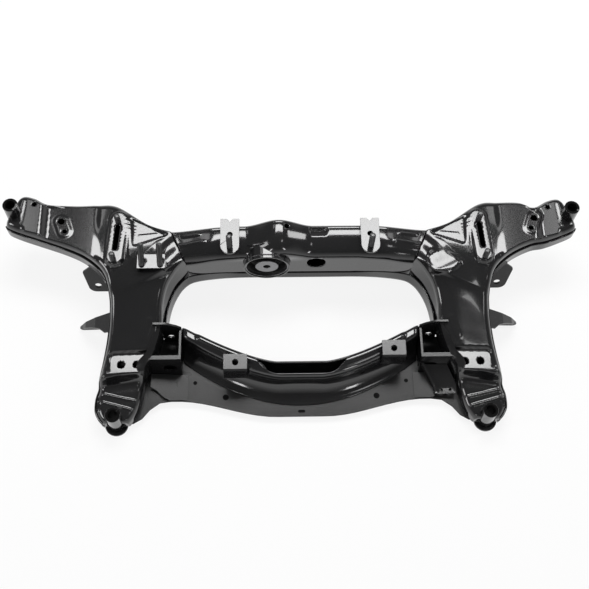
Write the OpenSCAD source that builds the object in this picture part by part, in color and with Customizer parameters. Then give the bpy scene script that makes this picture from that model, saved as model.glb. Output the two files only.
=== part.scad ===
// Rear suspension subframe: a welded ring of steel pressings with four body-mount collars,
// a rubber differential bush, and brackets for links, stabiliser bar, cables and differential.
// Frame: +X to the vehicle's right seen from behind and above, +Y ahead, +Z up.
// Origin: midway between the rear body-mount axes, on the plane that the part stands on.

/* [Body mounts] */
// Distance of the rear mount axes outside the ring opening's edge
rear_mount_out = 92; // [86:1:98]
// Distance of the right front mount axis outside the rail's waist
front_mount_out = 169; // [156:1:184]
// Distance of the right front mount axis ahead of the rear mount axes
front_mount_y = 383; // [374:1:392]
// How much further out the left front mount axis lies
left_arm_extra = 27; // [0:1:35]
// How much further ahead the left front mount axis lies
left_arm_ahead = 15; // [0:1:20]
// Outer diameter of the mount collars
collar_od = 30; // [26:0.5:33]
// Bore of the mount collars
collar_bore = 19; // [14:0.5:21]
// Height of the front collars' top faces
front_collar_top = 180; // [172:1:192]
// Length of the front collars
front_collar_len = 74; // [66:1:84]
// Height of the rear collars' top faces
rear_collar_top = 66; // [58:1:74]
// Diameter of the washers under the rear collars
rear_washer_d = 46; // [40:1:52]
// Thickness of the washers under the rear collars
rear_washer_t = 6; // [4:0.5:9]

/* [Sheet metal] */
// Thickness of the pressings
sheet_t = 3; // [2.5:0.25:3.5]
// Thickness of the welded brackets
bracket_t = 4; // [3:0.25:5]
// Outside bend radius along the shoulders of the side members
shoulder_r = 14; // [11:0.5:15]
// Outside bend radius of the front crossmember
cross_r = 11; // [8:0.5:13]
// Outside bend radius of the lower pressings
tray_r = 8; // [6:0.5:10]
// Clearance between lapped or fitted pieces
seam_gap = 0.2; // [0.1:0.05:0.3]
// How far the lower pressings lap up the walls of the upper ones
lap = 9; // [6:0.5:11]

/* [Side members] */
// Height of the pad around the front collars
arm_z = 150; // [146:1:154]
// Height of the arm at its two-hole pad
arm_mid_z = 136; // [133:1:139]
// Height of the flat where the front crossmember laps on
knee_z = 141; // [138:1:144]
// Height of the rail halfway along the ring opening
rail_z = 102; // [98:1:106]
// Height of the pad ahead of the rear step
rear_pad_z = 77; // [72:1:82]
// Height of the foot around the rear collars
foot_z = 46; // [43:1:50]
// Height of the underside at the arm tips
tip_floor_z = 105; // [101:1:109]
// Height of the underside along the ring opening
rail_floor_z = 56; // [52:1:60]
// Height of the underside at the rear foot
foot_floor_z = 15; // [12:1:17]
// Half of the ring opening's width between the rails
ring_half = 272; // [266:1:278]
// Width of a rail at its waist
rail_w = 103; // [98:1:110]
// Front edge of the arms, ahead of the rear mounts
arm_front_y = 424; // [419:1:429]
// Width of the flange that stands into the ring opening
ring_flange = 15; // [8:1:20]
// Share of the wall height that the lower pressing has on the outside
split_share = 0.45; // [0.4:0.01:0.5]

/* [Front crossmember] */
// How far the lap joint's front corner lies inside the rails' inner edge
joint_front_in = 16; // [10:1:20]
// Distance of the lap joint's front corner ahead of the rear mounts
joint_front_y = 357; // [353:1:361]
// How far the lap joint's rear corner lies inside the rails' inner edge
joint_rear_in = 43; // [39:1:47]
// Distance of the lap joint's rear corner ahead of the rear mounts
joint_rear_y = 291; // [288:1:294]
// Front edge of the crossmember's middle
cross_front_y = 362; // [359:1:366]
// Rear edge of the crossmember's middle
cross_rear_y = 320; // [316:1:323]
// Height of the crossmember's top beside the hump
cross_z = 158; // [155:1:161]
// Height of the hump over the bush
hump_h = 26; // [23:1:30]
// Sideways place of the hump's crest
hump_x = -42; // [-46:1:-38]
// Half of the hump's length
hump_half = 70; // [64:1:71]
// Height of the crossmember's underside
cross_floor_z = 64; // [60:1:67]
// Reach of the crossmember's flange into the ring opening, behind its wall
cross_flange = 24; // [16:1:28]
// Width of the lap on the side members
cross_lap = 13; // [9:1:15]

/* [Differential bush] */
// Sideways place of the bush axis
bush_x = -66; // [-70:1:-62]
// Height of the bush axis
bush_z = 119; // [117:1:121]
// Rear face of the bush housing, ahead of the rear mounts
bush_face_y = 284; // [278:1:290]
// Length of the bush housing
bush_len = 54; // [50:1:58]
// Outer diameter of the bush housing
housing_d = 92; // [88:1:94]
// Wall of the bush housing
housing_wall = 3; // [2:0.25:4]
// Diameter of the bush's core flange
core_flange_d = 46; // [40:1:52]
// Diameter of the bush's core tube
core_d = 30; // [26:1:34]
// Bore of the bush's core
core_bore = 14; // [12:0.5:16]

/* [Stabiliser brackets] */
// Sideways place of the stabiliser brackets
stab_x = 138; // [134:1:142]
// Width of a stabiliser bracket
stab_w = 37; // [32:1:42]
// Height of a bracket's top face
stab_top_z = 174; // [170:1:178]
// Front end of a bracket
stab_front_y = 366; // [364:1:370]
// Rear end of a bracket
stab_rear_y = 289; // [284:1:296]
// Bolt hole in a bracket
stab_hole_d = 11; // [8:0.5:13]
// Distance of that hole ahead of the rear mounts
stab_hole_y = 331; // [328:1:336]
// Diameter of the weld studs
stud_d = 12; // [10:0.5:13]
// Height of a stabiliser stud above its bracket
stab_stud_h = 44; // [30:1:52]

/* [Link brackets] */
// Distance of the front link's bolt axis outside the rail's waist
link_out = 41; // [36:1:44]
// Height of the front link's bolt axis
link_z = 20; // [18:1:24]
// Bolt hole of the links
link_hole_d = 14; // [12:0.5:16]
// Front ear of the front link, ahead of the rear mounts
front_ear_y = 292; // [288:1:297]
// Rear ear of the front link, ahead of the rear mounts
rear_ear_y = 208; // [203:1:213]
// Distance of the lower link's bolt axis inside the rail's inner edge
lower_link_in = 13; // [9:1:16]
// Height of the lower link's bolt axis
lower_link_z = 42; // [38:1:46]
// Rear wall of the lower link pocket, ahead of the rear mounts
pocket_rear_y = 112; // [109:1:116]
// Clear width between the walls of the lower link pocket
pocket_gap = 55; // [50:1:58]
// Width of the lower link pocket, from its inner wall to the rail's inner edge
pocket_w = 36; // [32:1:38]

/* [Rear crossmember] */
// Rear edge of the shelf at the centre plane
shelf_rear_y = 9; // [5:1:14]
// Rear edge of the cove wall's foot at the centre plane
cove_foot_y = 32; // [29:1:36]
// Width of the cove wall's foot flange
cove_foot_w = 12; // [9:1:14]
// Height of the seam between cove wall and top pressing
seam_z = 64; // [60:1:68]
// Seam's place at the centre plane
seam_y = 70; // [67:1:74]
// Height of the beam's top
beam_z = 86; // [82:1:91]
// Front edge of the beam at the centre plane
beam_front_y = 101; // [98:1:106]
// Half of the open dip's length along its near edge
dip_half = 50; // [44:1:56]
// Length of the curves at both ends of the dip
dip_flare = 48; // [40:1:54]
// Distance of the left differential bracket from the beam's left end
diff_left_in = 106; // [101:1:111]
// Distance of the right differential bracket from the beam's right end
diff_right_in = 54; // [49:1:59]
// Bolt hole of the differential brackets
diff_hole_d = 13; // [10:0.5:14]

/* [Hidden] */
$fn = 48;
steps_per_row = 2;
beam_steps = 26;
arc_steps = [0, 45, 90];
plan_steps = 12;
joint_r = sheet_t + 0.5;
waist_x = ring_half + rail_w;
rear_mount_x = ring_half + rear_mount_out;
front_mount_x = waist_x + front_mount_out;
joint_front_x = ring_half - joint_front_in;
joint_rear_x = ring_half - joint_rear_in;
link_x = waist_x + link_out;
lower_link_x = ring_half - lower_link_in;
pocket_inner_x = ring_half - pocket_w;
joggle = 1;
knee_flat = cross_lap + 8;
tip_wall = 7;
black = "#1b1c1e";
satin = "#8b8d90";
rubber_black = "#121213";
zinc = "#77797c";

// Curves
function mix(a, b, u) = a + (b - a) * u;
function clamp01(u) = min(max(u, 0), 1);
function ease(u) = let (v = clamp01(u)) v * v * (3 - 2 * v);
function bell(u) = let (v = clamp01(1 - abs(u))) ease(v);
function cubic(a, b, c, d, u) =
    0.5 * (2 * b + (c - a) * u + (2 * a - 5 * b + 4 * c - d) * u * u + (3 * b - a - 3 * c + d) * u * u * u);
// Smooth curve through the rows lo to hi of a table, at segment i and share u
function row_curve(rows, i, u, lo, hi) =
    cubic(rows[max(i - 1, lo)], rows[i], rows[i + 1], rows[min(i + 2, hi)], u);

// Shells between two skins
// outer and inner are lists of stations with equally many points, and the shell is closed along
// its long edges and its ends
function strip(a, m, i) = [
    for (j = [0 : m - 2]) each [
        [a + i * m + j, a + i * m + j + 1, a + (i + 1) * m + j],
        [a + i * m + j + 1, a + (i + 1) * m + j + 1, a + (i + 1) * m + j]
    ]
];
function flip(faces) = [for (f = faces) [f[2], f[1], f[0]]];
module shell(outer, inner) {
    n = len(outer);
    m = len(outer[0]);
    b = n * m;
    points = [each for (s = outer) s, each for (s = inner) s];
    skins = [for (i = [0 : n - 2]) each concat(strip(0, m, i), flip(strip(b, m, i)))];
    edges = [
        for (i = [0 : n - 2]) each [
            [i * m, (i + 1) * m, b + i * m],
            [(i + 1) * m, b + (i + 1) * m, b + i * m],
            [i * m + m - 1, b + i * m + m - 1, (i + 1) * m + m - 1],
            [(i + 1) * m + m - 1, b + i * m + m - 1, b + (i + 1) * m + m - 1]
        ]
    ];
    ends = [
        for (j = [0 : m - 2]) each [
            [j, b + j, j + 1],
            [j + 1, b + j, b + j + 1],
            [(n - 1) * m + j, (n - 1) * m + j + 1, b + (n - 1) * m + j],
            [(n - 1) * m + j + 1, b + (n - 1) * m + j + 1, b + (n - 1) * m + j]
        ]
    ];
    polyhedron(points = points, faces = concat(skins, edges, ends), convexity = 6);
}
module mirrored(left) {
    if (left) mirror([1, 0, 0]) children();
    else children();
}
// A straight-sided slot outline with round ends, lying along Y
module slot_2d(length, width) {
    square([width, length - width], center = true);
    for (s = [-1, 1]) translate([0, s * (length - width) / 2]) circle(d = width);
}
module rod(d, h, bevel) {
    cylinder(d = d, h = h - bevel);
    translate([0, 0, h - bevel]) cylinder(d1 = d, d2 = d - 2 * bevel, h = bevel);
}

// Side members
// A row is outer edge x and y, inner edge x and y, outer and inner height, underside height,
// inner bend radius and flange width. The rows run from the arm's tip to the rear foot.
function mount_x(left) = front_mount_x + (left ? left_arm_extra : 0);
function mount_y(left) = front_mount_y + (left ? left_arm_ahead : 0);
joint_row = 8;
function arm_x(share) = mix(waist_x, front_mount_x, share);
foot_out_x = rear_mount_x + 36;
foot_in_x = rear_mount_x - 51;
knee_r = mix(joint_r, shoulder_r, 0.4);
bend_r = shoulder_r * 0.7;
gusset_run = 14;
pocket_end_y = pocket_rear_y + pocket_gap + 8;
function slope_o(share) = mix(rail_z, arm_mid_z, share);
function slope_i(share) = mix(rail_z, knee_z, share);
function rise_z(share) = mix(foot_floor_z, rail_floor_z, share);
function sink_z(share) = mix(tip_floor_z, cross_floor_z, share);
function ring_z(share) = mix(rail_floor_z, cross_floor_z, share);
function foot_o(share) = mix(waist_x, foot_out_x, share);
function foot_i(share) = mix(ring_half, foot_in_x, share);
function side_rows(cx, cy) = [
    [cx + 17, cy - 19, cx - 4, cy + 33, arm_z - tip_wall, arm_z - tip_wall, tip_floor_z, shoulder_r, 4],
    [cx + 9, cy - 30, cx - 17, cy + 41, arm_z, arm_z, tip_floor_z, shoulder_r, 4],
    [cx - 16, cy - 41, cx - 38, cy + 37, arm_z, arm_z, tip_floor_z - 2, shoulder_r, 4],
    [cx - 47, cy - 50, cx - 66, cy + 25, arm_z - 4, arm_z - 4, tip_floor_z - 8, shoulder_r, 4],
    [arm_x(0.562), 332, arm_x(0.45), arm_front_y, arm_mid_z, arm_mid_z + 2, tip_floor_z - 18, shoulder_r, 4],
    [arm_x(0.343), 316, arm_x(0.19), arm_front_y, arm_mid_z, knee_z - 2, sink_z(0.6), shoulder_r, 4],
    [arm_x(0.178), 296, arm_x(-0.053), arm_front_y - 5, arm_mid_z, knee_z, sink_z(0.854), shoulder_r, 4],
    [
        arm_x(0.077), 275, joint_front_x + 48, joint_front_y + 19,
        slope_o(0.94), knee_z, sink_z(0.951), knee_r, 3
    ],
    [waist_x + 4, 250, joint_front_x, joint_front_y, arm_mid_z - 7, knee_z, cross_floor_z, joint_r, 0],
    [waist_x, 230, joint_rear_x, joint_rear_y, slope_o(0.5), knee_z, cross_floor_z, joint_r, 0],
    [waist_x - 1, 218, ring_half - 24, 276, slope_o(0.36), slope_i(0.62), cross_floor_z, bend_r, ring_flange],
    [waist_x - 1, 203, ring_half - 8, 252, slope_o(0.2), slope_i(0.36), ring_z(0.6), shoulder_r, ring_flange],
    [waist_x, 182, ring_half, 216, rail_z, rail_z + 5, rail_floor_z, shoulder_r, ring_flange * 0.8],
    [foot_o(0.12), 148, ring_half + 1, pocket_end_y, rail_z - 9, rail_z - 5, rise_z(0.86), shoulder_r, 2],
    [foot_o(0.36), 113, foot_i(0.317), 128, rear_pad_z + 7, rear_pad_z + 9, rise_z(0.6), shoulder_r, 1],
    [foot_o(0.6), 88, foot_i(0.659), 103, rear_pad_z, rear_pad_z, rise_z(0.3), shoulder_r, 1],
    [foot_o(0.72), 72, foot_i(0.829), 87, rear_pad_z - 2, rear_pad_z - 2, foot_floor_z + 3, shoulder_r, 1],
    [foot_o(0.8), 60, foot_i(0.927), 73, foot_z + 3, foot_z + 3, foot_floor_z, shoulder_r, 1],
    [foot_out_x, 40, foot_in_x, 50, foot_z, foot_z, foot_floor_z, shoulder_r, 1],
    [foot_out_x, 16, foot_in_x + 7, 21, foot_z, foot_z, foot_floor_z, shoulder_r, 1],
    [foot_out_x - 7, 0, foot_in_x + 16, 3, foot_z, foot_z, foot_floor_z, shoulder_r, 1],
    [foot_out_x - 14, -8, foot_in_x + 24, -7, foot_z - 2, foot_z - 2, foot_floor_z, shoulder_r, 1]
];
// The inner edge has sharp corners at both ends of the straight lap joint
function side_station(rows, i, u) = let (
    last = len(rows) - 1,
    whole = row_curve(rows, i, u, 0, last),
    lo = i < joint_row ? 0 : i < joint_row + 1 ? joint_row : joint_row + 1,
    hi = i < joint_row ? joint_row : i < joint_row + 1 ? joint_row + 1 : last,
    part = row_curve(rows, i, u, lo, hi)
) [whole[0], whole[1], part[2], part[3], whole[4], part[5], max(whole[6], foot_floor_z), part[7], part[8]];
function side_stations(left) = let (rows = side_rows(mount_x(left), mount_y(left)), last = len(rows) - 1) [
    for (i = [0 : last - 1], k = [0 : steps_per_row - 1]) side_station(rows, i, k / steps_per_row),
    side_station(rows, last - 1, 1)
];
// A section's points, given along the line from the outer to the inner edge and in height
function place(r, pts) = let (
    o = [r[0], r[1]],
    along = [r[2], r[3]] - o,
    a = along / norm(along)
) [for (p = pts) [o[0] + a[0] * p[0], o[1] + a[1] * p[0], p[1]]];
function width(r) = norm([r[2] - r[0], r[3] - r[1]]);
function split_z(r) = min(mix(r[6], r[4], split_share), r[4] - shoulder_r - 1);
// An inverted channel: depth is 0 on the outside skin and the sheet's thickness on the inside
function channel(r, depth, ro, foot_o, foot_i, flat) = let (w = width(r), ri = r[7]) place(r, concat(
    [[depth, foot_o]],
    [for (t = arc_steps) [ro - (ro - depth) * cos(t), r[4] - ro + (ro - depth) * sin(t)]],
    [[w - ri - flat, r[5] - depth]],
    [for (t = arc_steps) [w - ri + (ri - depth) * sin(t), r[5] - ri + (ri - depth) * cos(t)]],
    [[w - depth, foot_i]]
));
function side_upper_skin(r, depth) =
    channel(r, depth, shoulder_r, split_z(r), r[6] + sheet_t + seam_gap, knee_flat);
// A tray with a lip outside the upper pressing's wall and a flange at its inner edge
function tray_skin(r, depth) = let (w = width(r), lip = -seam_gap - sheet_t) place(r, concat(
    [[lip + depth, split_z(r) + lap]],
    [for (t = arc_steps) [lip, r[6]] + [tray_r, tray_r] - (tray_r - depth) * [cos(t), sin(t)]],
    [[w + r[8], r[6] + depth]]
));
module side_upper_sheet(left) {
    rows = side_stations(left);
    shell([for (r = rows) side_upper_skin(r, sheet_t)], [for (r = rows) side_upper_skin(r, 0)]);
}
module side_lower_sheet(left) {
    rows = side_stations(left);
    shell([for (r = rows) tray_skin(r, 0)], [for (r = rows) tray_skin(r, sheet_t)]);
}
// The stations of a side member between two rows, for solids that trim the brackets there
function near_stations(left, from, to) = let (all = side_stations(left))
    [for (k = [from * steps_per_row : to * steps_per_row]) all[k]];
// Everything that lies above a lower pressing's underside between two rows
module side_envelope(left, from, to) {
    rows = near_stations(left, from, to);
    cover = arm_z + 2 * shoulder_r;
    function lid(r) = let (w = width(r) + r[8], lip = -seam_gap - sheet_t)
        place(r, [for (k = [0 : 4]) [mix(lip + 1, w, k / 4), cover]]);
    shell([for (r = rows) tray_skin(r, 0)], [for (r = rows) lid(r)]);
}
// Everything below an upper pressing's outside between two rows
module side_core(left, from, to) {
    rows = near_stations(left, from, to);
    function base(r) = place(r, [for (k = [0 : 8]) [mix(1, width(r) - 1, k / 8), foot_floor_z]]);
    shell([for (r = rows) base(r)], [for (r = rows) side_upper_skin(r, 0)]);
}
// The room that a lower pressing takes between two rows, for brackets that reach over its flange
module side_tray(left, from, to) {
    rows = near_stations(left, from, to);
    shell([for (r = rows) tray_skin(r, -seam_gap)], [for (r = rows) tray_skin(r, sheet_t + seam_gap)]);
}
// A second sheet that lies over the upper pressing between two rows
module side_cover(left, from, to) {
    rows = near_stations(left, from, to);
    top = seam_gap + sheet_t;
    shell([for (r = rows) side_upper_skin(r, -seam_gap)], [for (r = rows) side_upper_skin(r, -top)]);
}
// Pads and holes in the upper pressing
pad_length = 120;
pad_width = 36;
pad_rise = 3;
pad_turn = 4;
pad_x = waist_x - 11;
pad_y = mix(joint_front_y, joint_rear_y, 0.22);
slot_length = 58;
slot_width = 10;
arm_pad_length = 52;
arm_pad_width = 27;
arm_pad_turn = -20;
arm_pad_x = arm_x(0.58);
arm_pad_y = 372;
arm_hole_d = 14;
arm_small_hole_d = 10;
arm_hole_pitch = 24;
tip_hole_d = 10;
rear_pad_hole_d = 15;
rear_pad_hole_x = [rear_mount_x - 13, rear_mount_x - 43];
rear_pad_hole_y = 98;
pad_top_z = knee_z + pad_rise;
arm_pad_z = arm_mid_z + pad_rise;
module pad_place() translate([pad_x, pad_y, 0]) rotate(pad_turn) children();
module arm_pad_place() translate([arm_pad_x, arm_pad_y, 0]) rotate(arm_pad_turn) children();
// A raised pad of sheet thickness: the block outside, and the room to clear below its top
module pad_block(length, w, z)
    translate([0, 0, z - 4 * sheet_t]) linear_extrude(4 * sheet_t) slot_2d(length, w);
module pad_room(length, w, z)
    translate([0, 0, z - 8 * sheet_t]) linear_extrude(7 * sheet_t)
        slot_2d(length - 2 * sheet_t, w - 2 * sheet_t);
module side_upper(left) {
    cx = mount_x(left);
    cy = mount_y(left);
    through = arm_z;
    color(black) mirrored(left) difference() {
        union() {
            side_upper_sheet(left);
            pad_place() pad_block(pad_length, pad_width, pad_top_z);
            arm_pad_place() pad_block(arm_pad_length, arm_pad_width, arm_pad_z);
        }
        pad_place() pad_room(pad_length, pad_width, pad_top_z);
        arm_pad_place() pad_room(arm_pad_length, arm_pad_width, arm_pad_z);
        pad_place() translate([0, 0, knee_z - through / 2]) linear_extrude(through)
            slot_2d(slot_length, slot_width);
        arm_pad_place() translate([0, arm_hole_pitch / 2 - 1, 0])
            cylinder(d = arm_hole_d, h = 2 * through);
        arm_pad_place() translate([0, -arm_hole_pitch / 2 - 1, 0])
            cylinder(d = arm_small_hole_d, h = 2 * through);
        translate([cx - 40, cy + 18, 0]) cylinder(d = tip_hole_d, h = 2 * through);
        for (x = rear_pad_hole_x) translate([x, rear_pad_hole_y, 0])
            cylinder(d = rear_pad_hole_d, h = through);
        translate([cx, cy, 0]) cylinder(d = collar_od + 2 * seam_gap, h = 2 * through);
        translate([rear_mount_x, 0, 0]) cylinder(d = collar_od + 2 * seam_gap, h = through);
    }
}
module side_lower(left) {
    color(black) mirrored(left) difference() {
        side_lower_sheet(left);
        translate([mount_x(left), mount_y(left), 0]) cylinder(d = collar_od + 2 * seam_gap, h = 2 * arm_z);
        translate([rear_mount_x, 0, 0]) cylinder(d = collar_od + 2 * seam_gap, h = arm_z);
    }
}

// Front crossmember
// Stations run from the left lap joint to the right one, along the joint line at both ends
flat_half = stab_x - stab_w / 2 - 6;
function hump(x) = hump_h * bell((x - hump_x) / hump_half);
function cross_row(u) = let (
    side = abs(u),
    end = ease((side * joint_rear_x - flat_half - stab_w - 12) / (joint_rear_x - flat_half - stab_w - 12)),
    near = ease((side * joint_rear_x - flat_half) / (joint_rear_x - flat_half)),
    gap = seam_gap * side,
    xo = u * (joint_rear_x - gap),
    xi = u * (joint_rear_x - gap) + sign(u) * (joint_front_x - joint_rear_x) * end,
    z = mix(cross_z, knee_z + sheet_t + joggle, end)
) [
    xo, mix(cross_rear_y, joint_rear_y, near), xi, mix(cross_front_y, joint_front_y, near),
    z + hump(xo), z + hump(xi), cross_floor_z, cross_r, 0
];
function cross_skin(r, depth) = channel(r, depth, cross_r, r[6] + sheet_t, r[6] + sheet_t, 2);
cross_rows = [for (k = [-20 : 20]) cross_row(k / 20)];
wall_hole_x = 33;
wall_hole_z = mix(cross_floor_z, cross_z, 0.52);
wall_hole_d = 38;
hump_hole_d = 11;
module lap_tab() {
    along = [joint_front_x - joint_rear_x, joint_front_y - joint_rear_y];
    out = [along[1], -along[0]] / norm(along) * cross_lap;
    back = out * (-2 / cross_lap);
    a = [joint_rear_x, joint_rear_y] + along * 0.14;
    b = [joint_rear_x, joint_rear_y] + along * 0.9;
    translate([0, 0, knee_z]) linear_extrude(sheet_t) polygon([a + back, a + out, b + out, b + back]);
}
module front_cross_upper() color(black) difference() {
    union() {
        shell([for (r = cross_rows) cross_skin(r, 0)], [for (r = cross_rows) cross_skin(r, sheet_t)]);
        for (left = [false, true]) mirrored(left) lap_tab();
    }
    translate([bush_x, cross_rear_y + cross_r + 8, bush_z]) rotate([90, 0, 0])
        cylinder(d = housing_d + 2 * seam_gap, h = 2 * cross_rear_y);
    translate([wall_hole_x, cross_rear_y + cross_r, wall_hole_z]) rotate([90, 0, 0])
        cylinder(d = wall_hole_d, h = 3 * cross_r);
    translate([hump_x + 16, mix(cross_rear_y, cross_front_y, 0.6), cross_z])
        cylinder(d = hump_hole_d, h = 2 * hump_h);
}
module front_cross_lower() {
    front = [for (r = cross_rows) [r[2], r[3] + 4]];
    rear = [for (k = [len(cross_rows) - 1 : -1 : 0]) let (r = cross_rows[k])
        [r[0], r[1] - cross_flange * (1 - ease((abs(r[0]) - flat_half) / (joint_rear_x - flat_half)))]];
    color(black) translate([0, 0, cross_floor_z]) linear_extrude(sheet_t) polygon(concat(front, rear));
}

// Body-mount collars
module collar(x, y, z, top) color(black) translate([x, y, z]) difference() {
    cylinder(d = collar_od, h = top - z);
    translate([0, 0, -1]) cylinder(d = collar_bore, h = top - z + 2);
}
module rear_washer(x) color(black) translate([x, 0, 0]) difference() {
    cylinder(d = rear_washer_d, h = rear_washer_t);
    translate([0, 0, -1]) cylinder(d = collar_od, h = rear_washer_t + 2);
}

// Differential bush
sleeve_wall = 2.5;
sleeve_d = housing_d - 2 * housing_wall;
core_flange_t = 5;
core_proud = 3;
rubber_inset = 8;
groove_depth = 14;
module along_y(y) translate([bush_x, y, bush_z]) rotate([-90, 0, 0]) children();
module ring(od, id, h) difference() {
    cylinder(d = od, h = h);
    translate([0, 0, -1]) cylinder(d = id, h = h + 2);
}
module bush_housing() color(black) along_y(bush_face_y) ring(housing_d, sleeve_d, bush_len);
module bush_sleeve() color(satin) along_y(bush_face_y + 2)
    ring(sleeve_d, sleeve_d - 2 * sleeve_wall, bush_len - 4);
module bush_rubber() {
    outer = sleeve_d / 2 - sleeve_wall;
    inner = core_d / 2;
    far = bush_len - 2 * rubber_inset;
    mid = (outer + core_flange_d / 2) / 2;
    color(rubber_black) along_y(bush_face_y + rubber_inset) rotate_extrude() polygon([
        [inner, 2], [core_flange_d / 2 - 2, 2], [core_flange_d / 2 + 1, groove_depth],
        [mid, groove_depth + 3], [outer - 4, groove_depth], [outer - 1.5, 0], [outer, 0],
        [outer, far], [outer - 3, far], [mid, far - 9], [inner, far]
    ]);
}
module bush_core() color(satin) along_y(bush_face_y + core_proud) difference() {
    union() {
        cylinder(d = core_d, h = bush_len - 2 * core_proud);
        cylinder(d = core_flange_d, h = core_flange_t);
    }
    translate([0, 0, -1]) cylinder(d = core_bore, h = bush_len);
}

// Stabiliser brackets
stab_flat_front = cross_front_y - cross_r - 1;
stab_flat_rear = cross_rear_y + cross_r + 1;
notch_w = 14;
module stab_plate_2d() {
    half = stab_w / 2;
    difference() {
        union() {
            translate([-half, stab_rear_y + half]) square([stab_w, stab_front_y - stab_rear_y - half]);
            translate([0, stab_rear_y + half]) circle(d = stab_w);
        }
        translate([0, stab_front_y]) polygon([[-notch_w / 2, 1], [notch_w / 2, 1], [0, -notch_w / 2]]);
    }
}
module stab_bracket(left) color(satin) mirrored(left) translate([stab_x, 0, 0]) difference() {
    union() {
        translate([0, 0, stab_top_z - bracket_t]) linear_extrude(bracket_t) stab_plate_2d();
        for (s = [-1, 1]) translate([s * (stab_w - bracket_t) / 2, 0, 0]) rotate([90, 0, 90])
            translate([0, 0, -bracket_t / 2]) linear_extrude(bracket_t) polygon([
                [stab_flat_rear, cross_z], [stab_flat_front, cross_z],
                [stab_front_y - 8, stab_top_z - 5], [stab_front_y - 8, stab_top_z - 1],
                [stab_rear_y + stab_w / 2, stab_top_z - 1], [stab_rear_y + stab_w / 2, stab_top_z - 5]
            ]);
    }
    translate([0, stab_hole_y, cross_z]) cylinder(d = stab_hole_d, h = stab_top_z);
}
module stab_stud(left) color(zinc) mirrored(left)
    translate([stab_x, stab_rear_y + stab_w / 2 - 4, stab_top_z]) rod(stud_d, stab_stud_h, 1.5);

// Front link ears
ear_lean = 12;
ear_corner = 16;
ear_out = 26;
ear_span = front_ear_y - rear_ear_y;
module link_bore() translate([link_x, front_ear_y + ear_span / 2, link_z]) rotate([90, 0, 0])
    cylinder(d = link_hole_d, h = 2 * ear_span);
module ear_2d() hull() {
    translate([link_x + ear_out - ear_corner - 6, ear_corner]) circle(r = ear_corner, $fn = 32);
    translate([waist_x, 0]) square(bracket_t);
    translate([link_x + ear_out - 7, 62]) circle(r = 7, $fn = 32);
    translate([waist_x + bracket_t, 100]) square([22, bracket_t]);
}
module front_ear(left) color(black) mirrored(left) difference() {
    translate([0, front_ear_y, 0]) rotate([90 - ear_lean, 0, 0]) translate([0, 0, -bracket_t])
        linear_extrude(bracket_t) ear_2d();
    side_envelope(left, 4, 9);
    link_bore();
    translate([waist_x - link_out, rear_ear_y, -2 * ear_corner])
        cube([3 * link_out, 2 * ear_span, 2 * ear_corner]);
}
// The rear ear is a claw: a plate with a curved top, whose turned edge tapers to the tip in plan
horn_lip = 44;
module horn_2d(inset) hull() {
    translate([waist_x - 6, 5 + inset]) square([4, 80 - 2 * inset]);
    translate([link_x - 12, 50]) circle(r = 10 - inset, $fn = 32);
    translate([link_x + 8, 28]) circle(r = 12 - inset, $fn = 32);
    translate([link_x + 25, 9]) circle(r = 8 - inset, $fn = 32);
}
module horn_plan() translate([0, rear_ear_y, -1]) linear_extrude(arm_z) polygon([
    [waist_x - 15, 1], [link_x + 36, 1], [link_x + 35, -bracket_t - 1], [link_x + 20, -12], [link_x + 4, -18],
    [link_x - 16, -28], [waist_x + 13, 4 - horn_lip], [waist_x - 15, -horn_lip]
]);
module rear_ear(left) color(black) mirrored(left) difference() {
    intersection() {
        translate([0, rear_ear_y, 0]) rotate([90, 0, 0]) difference() {
            linear_extrude(horn_lip) horn_2d(0);
            translate([0, 0, bracket_t]) linear_extrude(horn_lip) horn_2d(bracket_t);
            translate([waist_x - 10, -1, bracket_t]) cube([link_x - waist_x + 60, link_z + 4, horn_lip]);
        }
        horn_plan();
    }
    side_envelope(left, 8, 15);
    link_bore();
}

// Rear crossmember
// Plan curves of the beam, as distances ahead of the rear mounts at a sideways place x
beam_half = pocket_inner_x - 1;
beam_bow = beam_half * 0.332;
cove_bow = beam_half * 0.391;
seam_bow = beam_half * 0.357;
shelf_bow = beam_half * 0.145;
diff_left_x = diff_left_in - beam_half;
diff_right_x = beam_half - diff_right_in;
function beam_front(x) = beam_front_y + beam_bow * pow(clamp01((abs(x) - 48) / (beam_half - 48)), 1.4);
function cove_foot(x) = cove_foot_y + cove_bow * pow(abs(x) / beam_half, 2);
function seam_at(x) = seam_y + seam_bow * pow(clamp01((abs(x) - 40) / (beam_half - 40)), 1.5);
function shelf_rear(x) = shelf_rear_y + shelf_bow * ease((abs(x) - 50) / 195);
beam_wall_z = foot_floor_z;
beam_xs = [for (k = [0 : beam_steps]) mix(-beam_half, beam_half, k / beam_steps)];
cove_turn = 85;
cove_angles = [22, 45, 68, cove_turn];
// The cove wall: a foot flange on the shelf and a hollow quarter that rises to the seam
function cove_skin(x, depth) = let (
    y0 = cove_foot(x),
    y1 = y0 + cove_foot_w,
    run = (seam_at(x) - y1 + depth) / sin(cove_turn),
    foot = beam_wall_z + sheet_t - depth,
    rise = (seam_z - beam_wall_z - sheet_t) / (1 - cos(cove_turn))
) concat(
    [[x, y0, foot], [x, y1, foot]],
    [for (t = cove_angles) [x, y1 + run * sin(t), foot + rise * (1 - cos(t)) + depth * sin(t)]]
);
module rear_cross_cove() color(black)
    shell([for (x = beam_xs) cove_skin(x, 0)], [for (x = beam_xs) cove_skin(x, sheet_t)]);
// The top pressing: stands on the cove wall's upper edge, turns over the top and goes down to the shelf
top_r = 9;
function top_row(x) = [x, seam_at(x), x, beam_front(x), beam_z - 5, beam_z, beam_wall_z, top_r, 0];
function top_skin(x, depth) = channel(top_row(x), depth, top_r, seam_z, beam_wall_z, 2);
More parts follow.
